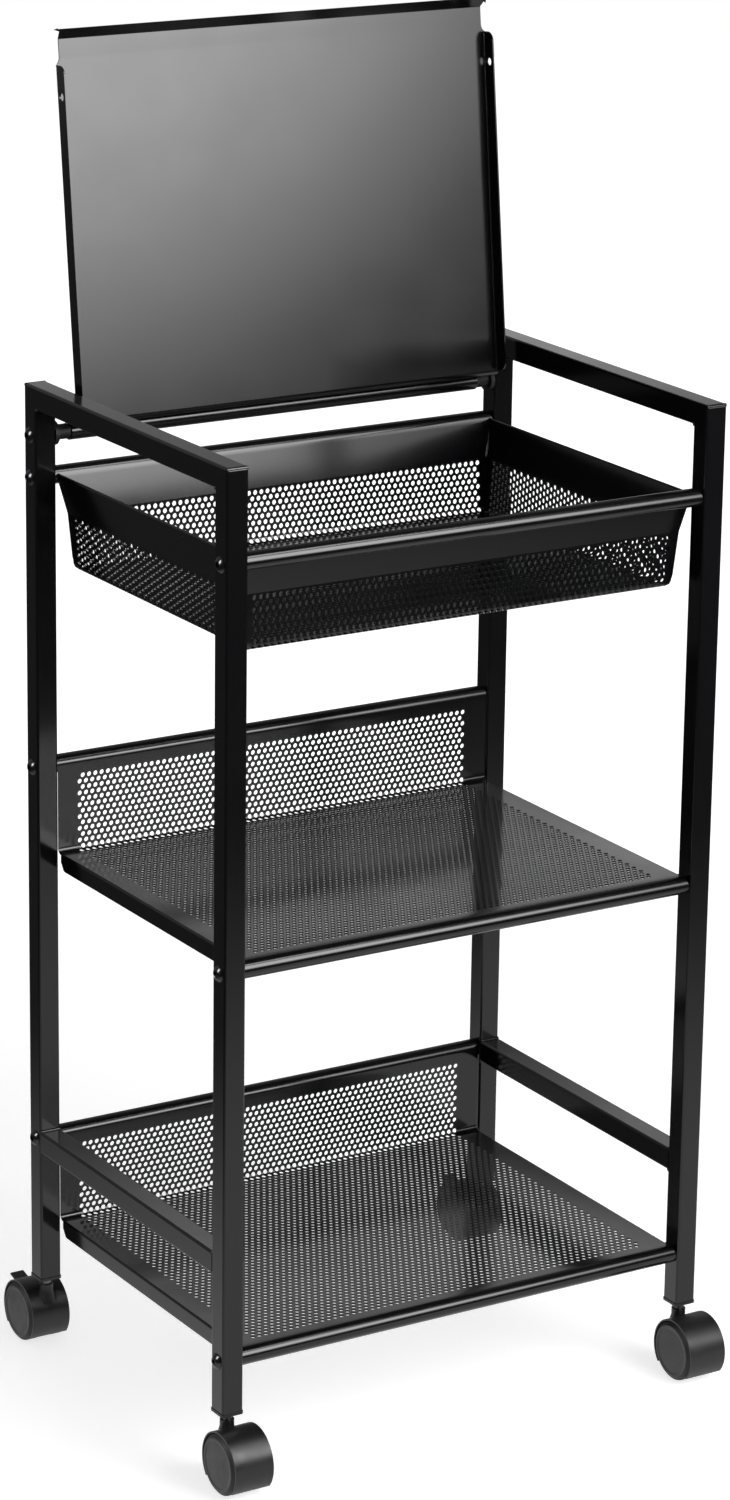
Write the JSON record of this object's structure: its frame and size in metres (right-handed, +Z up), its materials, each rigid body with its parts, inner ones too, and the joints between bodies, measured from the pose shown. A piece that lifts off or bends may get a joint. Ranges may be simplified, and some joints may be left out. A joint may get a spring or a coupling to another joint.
{
  "type": "utility cart",
  "caption": "Narrow rolling utility cart: square-tube frame on swivel casters, perforated shelves with rear upstands, and a perforated basket under a hinged lid.",
  "frame": {"origin": "on the floor under the centre of the frame's plan, midway between the four legs", "axes": "+X to the cart's right, +Y to its rear where the lid is hinged, +Z up"},
  "size_m": [0.404, 0.3467, 0.9488],
  "materials": {
    "tube_coat": "smooth semi-gloss black powder coat",
    "sheet_coat": "smooth semi-gloss black powder coat",
    "lid_coat": "smooth semi-gloss black powder coat",
    "black_screw": "glossy black",
    "zinc": "zinc plated",
    "black_nylon": "satin",
    "wheel_nylon": "satin"
  },
  "bodies": {
    "frame": {"left_front_leg": "tube_coat", "left_rear_leg": "tube_coat", "right_front_leg": "tube_coat", "right_rear_leg": "tube_coat", "left_top_rail": "tube_coat", "right_top_rail": "tube_coat", "left_lower_rail": "tube_coat", "right_lower_rail": "tube_coat", "left_front_plug": "black_nylon", "left_rear_plug": "black_nylon", "right_front_plug": "black_nylon", "right_rear_plug": "black_nylon", "basket": "sheet_coat", "middle_shelf": "sheet_coat", "bottom_shelf": "sheet_coat", "basket_inserts": "zinc", "middle_shelf_inserts": "zinc", "bottom_shelf_inserts": "zinc", "basket_screws": "black_screw", "middle_shelf_screws": "black_screw", "bottom_shelf_screws": "black_screw", "lid_bushings": "black_nylon", "lid_screws": "black_screw", "left_front_stem": "zinc", "left_rear_stem": "zinc", "right_front_stem": "zinc", "right_rear_stem": "zinc"},
    "lid": {"lid": "lid_coat", "lid_sleeves": "zinc"},
    "left_front_caster": {"left_front_hood": "black_nylon", "left_front_axle": "zinc"},
    "left_front_outer_wheel": {"left_front_outer_wheel": "wheel_nylon"},
    "left_front_inner_wheel": {"left_front_inner_wheel": "wheel_nylon"},
    "left_rear_caster": {"left_rear_hood": "black_nylon", "left_rear_axle": "zinc", "left_rear_brake_pin": "zinc"},
    "left_rear_outer_wheel": {"left_rear_outer_wheel": "wheel_nylon"},
    "left_rear_inner_wheel": {"left_rear_inner_wheel": "wheel_nylon"},
    "left_rear_brake": {"left_rear_brake_lever": "black_nylon"},
    "right_front_caster": {"right_front_hood": "black_nylon", "right_front_axle": "zinc"},
    "right_front_outer_wheel": {"right_front_outer_wheel": "wheel_nylon"},
    "right_front_inner_wheel": {"right_front_inner_wheel": "wheel_nylon"},
    "right_rear_caster": {"right_rear_hood": "black_nylon", "right_rear_axle": "zinc", "right_rear_brake_pin": "zinc"},
    "right_rear_outer_wheel": {"right_rear_outer_wheel": "wheel_nylon"},
    "right_rear_inner_wheel": {"right_rear_inner_wheel": "wheel_nylon"},
    "right_rear_brake": {"right_rear_brake_lever": "black_nylon"}
  },
  "joints": [
    {"name": "lid_hinge", "type": "hinge", "parent": "frame", "child": "lid", "pos_m": [0, 0.131, 0.6739], "axis": [1, 0, 0], "range_deg": [0, 96]},
    {"name": "left_front_swivel", "type": "hinge", "parent": "frame", "child": "left_front_caster", "pos_m": [-0.186, -0.131, 0.04], "axis": [0, 0, 1], "continuous": true},
    {"name": "left_front_outer_wheel_roll", "type": "hinge", "parent": "left_front_caster", "child": "left_front_outer_wheel", "pos_m": [-0.186, -0.146, 0.0215], "axis": [1, 0, 0], "continuous": true},
    {"name": "left_front_inner_wheel_roll", "type": "hinge", "parent": "left_front_caster", "child": "left_front_inner_wheel", "pos_m": [-0.186, -0.146, 0.0215], "axis": [1, 0, 0], "continuous": true},
    {"name": "left_rear_swivel", "type": "hinge", "parent": "frame", "child": "left_rear_caster", "pos_m": [-0.186, 0.131, 0.04], "axis": [0, 0, 1], "continuous": true},
    {"name": "left_rear_outer_wheel_roll", "type": "hinge", "parent": "left_rear_caster", "child": "left_rear_outer_wheel", "pos_m": [-0.186, 0.146, 0.0215], "axis": [1, 0, 0], "continuous": true},
    {"name": "left_rear_inner_wheel_roll", "type": "hinge", "parent": "left_rear_caster", "child": "left_rear_inner_wheel", "pos_m": [-0.186, 0.146, 0.0215], "axis": [1, 0, 0], "continuous": true},
    {"name": "left_rear_brake_press", "type": "hinge", "parent": "left_rear_caster", "child": "left_rear_brake", "pos_m": [-0.186, 0.15816, 0.03409], "axis": [-1, 0, 0], "range_deg": [0, 5]},
    {"name": "right_front_swivel", "type": "hinge", "parent": "frame", "child": "right_front_caster", "pos_m": [0.186, -0.131, 0.04], "axis": [0, 0, 1], "continuous": true},
    {"name": "right_front_outer_wheel_roll", "type": "hinge", "parent": "right_front_caster", "child": "right_front_outer_wheel", "pos_m": [0.186, -0.146, 0.0215], "axis": [1, 0, 0], "continuous": true},
    {"name": "right_front_inner_wheel_roll", "type": "hinge", "parent": "right_front_caster", "child": "right_front_inner_wheel", "pos_m": [0.186, -0.146, 0.0215], "axis": [1, 0, 0], "continuous": true},
    {"name": "right_rear_swivel", "type": "hinge", "parent": "frame", "child": "right_rear_caster", "pos_m": [0.186, 0.131, 0.04], "axis": [0, 0, 1], "continuous": true},
    {"name": "right_rear_outer_wheel_roll", "type": "hinge", "parent": "right_rear_caster", "child": "right_rear_outer_wheel", "pos_m": [0.186, 0.146, 0.0215], "axis": [1, 0, 0], "continuous": true},
    {"name": "right_rear_inner_wheel_roll", "type": "hinge", "parent": "right_rear_caster", "child": "right_rear_inner_wheel", "pos_m": [0.186, 0.146, 0.0215], "axis": [1, 0, 0], "continuous": true},
    {"name": "right_rear_brake_press", "type": "hinge", "parent": "right_rear_caster", "child": "right_rear_brake", "pos_m": [0.186, 0.15816, 0.03409], "axis": [-1, 0, 0], "range_deg": [0, 5]}
  ]
}
